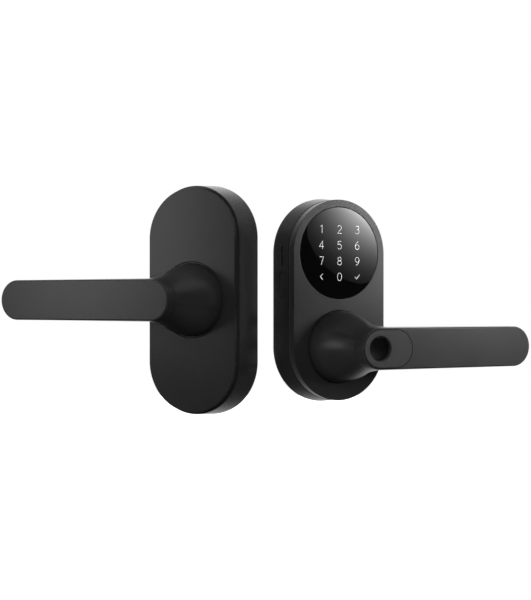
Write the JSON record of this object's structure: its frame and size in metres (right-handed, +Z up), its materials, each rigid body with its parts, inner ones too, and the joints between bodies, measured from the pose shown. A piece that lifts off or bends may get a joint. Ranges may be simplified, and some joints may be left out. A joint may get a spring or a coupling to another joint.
{
  "type": "keypad smart lock",
  "caption": "Two-part lever smart lock: an exterior half with a touch keypad and fingerprint lever, and an interior half with a battery housing and plain lever.",
  "frame": {"origin": "middle of the exterior half's door face, on its gasket", "axes": "+X to the right as seen from outside and along the exterior lever, +Y into the door, +Z up"},
  "size_m": [0.3491, 0.2042, 0.1734],
  "materials": {
    "black_metal": "satin black powder coat",
    "lever_metal": "satin black powder coat",
    "plated_steel": "zinc plated",
    "bearing_brass": "machined",
    "black_rubber": "matt",
    "black_plastic": "moulded",
    "touch_glass": "polished, black printed behind",
    "light_diffuser": "milky",
    "circuit_board": "solder mask",
    "sensor_black": "glossy",
    "battery_wrap": "printed sleeve"
  },
  "bodies": {
    "lock_body": {"exterior_housing": "black_metal", "front_cover": "black_metal", "interior_housing": "black_metal", "interior_hub_collar": "black_metal", "exterior_mounting_plate": "plated_steel", "upper_mounting_post": "plated_steel", "lower_mounting_post": "plated_steel", "mounting_plate_screw_1": "plated_steel", "mounting_plate_screw_2": "plated_steel", "front_cover_screw_1": "plated_steel", "front_cover_screw_2": "plated_steel", "exterior_return_spring": "plated_steel", "clutch_motor": "plated_steel", "usb_port": "plated_steel", "interior_mounting_plate": "plated_steel", "upper_through_bolt": "plated_steel", "lower_through_bolt": "plated_steel", "interior_housing_screw_1": "plated_steel", "interior_housing_screw_2": "plated_steel", "upper_battery_contact": "plated_steel", "lower_battery_contact": "plated_steel", "interior_return_spring": "plated_steel", "exterior_bearing_bush": "bearing_brass", "interior_bearing_bush": "bearing_brass", "exterior_gasket": "black_rubber", "interior_gasket": "black_rubber", "exterior_cable_socket": "black_plastic", "speaker": "black_plastic", "upper_battery_holder": "black_plastic", "lower_battery_holder": "black_plastic", "interior_cable_socket": "black_plastic", "touch_glass": "touch_glass", "keypad_light_guide": "light_diffuser", "touch_circuit_board": "circuit_board", "main_circuit_board": "circuit_board", "interior_circuit_board": "circuit_board", "upper_battery_1": "battery_wrap", "upper_battery_2": "battery_wrap", "lower_battery_1": "battery_wrap", "lower_battery_2": "battery_wrap"},
    "exterior_lever": {"exterior_lever": "lever_metal", "fingerprint_bezel": "black_metal", "fingerprint_sensor": "sensor_black", "fingerprint_board": "circuit_board", "exterior_drive_sleeve": "plated_steel", "exterior_circlip": "plated_steel", "exterior_set_screw": "plated_steel"},
    "interior_lever": {"interior_lever": "lever_metal", "interior_drive_sleeve": "plated_steel", "interior_circlip": "plated_steel", "interior_set_screw": "plated_steel"},
    "spindle": {"spindle": "plated_steel"},
    "clutch_collar": {"clutch_collar": "plated_steel"},
    "clutch_screw": {"clutch_screw": "bearing_brass"},
    "clutch_fork": {"clutch_fork": "plated_steel"},
    "port_cover": {"port_cover": "black_rubber"},
    "face_plate": {"interior_face_plate": "black_metal"}
  },
  "joints": [
    {"name": "exterior_lever_turn", "type": "hinge", "parent": "lock_body", "child": "exterior_lever", "pos_m": [0, -0.02, -0.035], "axis": [0, 1, 0], "range_deg": [0, 50], "stiffness_Nm_per_rad": 1.5, "springref_deg": -17.19},
    {"name": "interior_lever_turn", "type": "hinge", "parent": "lock_body", "child": "interior_lever", "pos_m": [-0.0906, 0.03011, 0], "axis": [-0.866, -0.5, 0], "range_deg": [0, 50], "stiffness_Nm_per_rad": 1.5, "springref_deg": -17.19},
    {"name": "spindle_turn", "type": "hinge", "parent": "lock_body", "child": "spindle", "pos_m": [0, 0, -0.035], "axis": [0, 1, 0], "range_deg": [-50, 50]},
    {"name": "clutch_screw_turn", "type": "hinge", "parent": "lock_body", "child": "clutch_screw", "pos_m": [0.022, -0.0102, -0.035], "axis": [0, -1, 0], "range_deg": [0, 720]},
    {"name": "clutch_fork_slide", "type": "slide", "parent": "lock_body", "child": "clutch_fork", "axis": [0, -1, 0], "range_m": [0, 0.0025]},
    {"name": "clutch_collar_slide", "type": "slide", "parent": "spindle", "child": "clutch_collar", "axis": [0, -1, 0], "range_m": [0, 0.0025]},
    {"name": "port_cover_hinge", "type": "hinge", "parent": "lock_body", "child": "port_cover", "pos_m": [-0.041, -0.0116, 0.0012], "axis": [0.1128, -0.9936, 0], "range_deg": [0, 100]},
    {"name": "face_plate_slide", "type": "slide", "parent": "lock_body", "child": "face_plate", "axis": [-0.866, -0.5, 0], "range_m": [0, 0.012]}
  ],
  "couplings": [
    {"joint": "clutch_screw_turn", "follows": "clutch_fork_slide", "rad_per_m": 5026.5},
    {"joint": "clutch_collar_slide", "follows": "clutch_fork_slide", "ratio": 1}
  ]
}
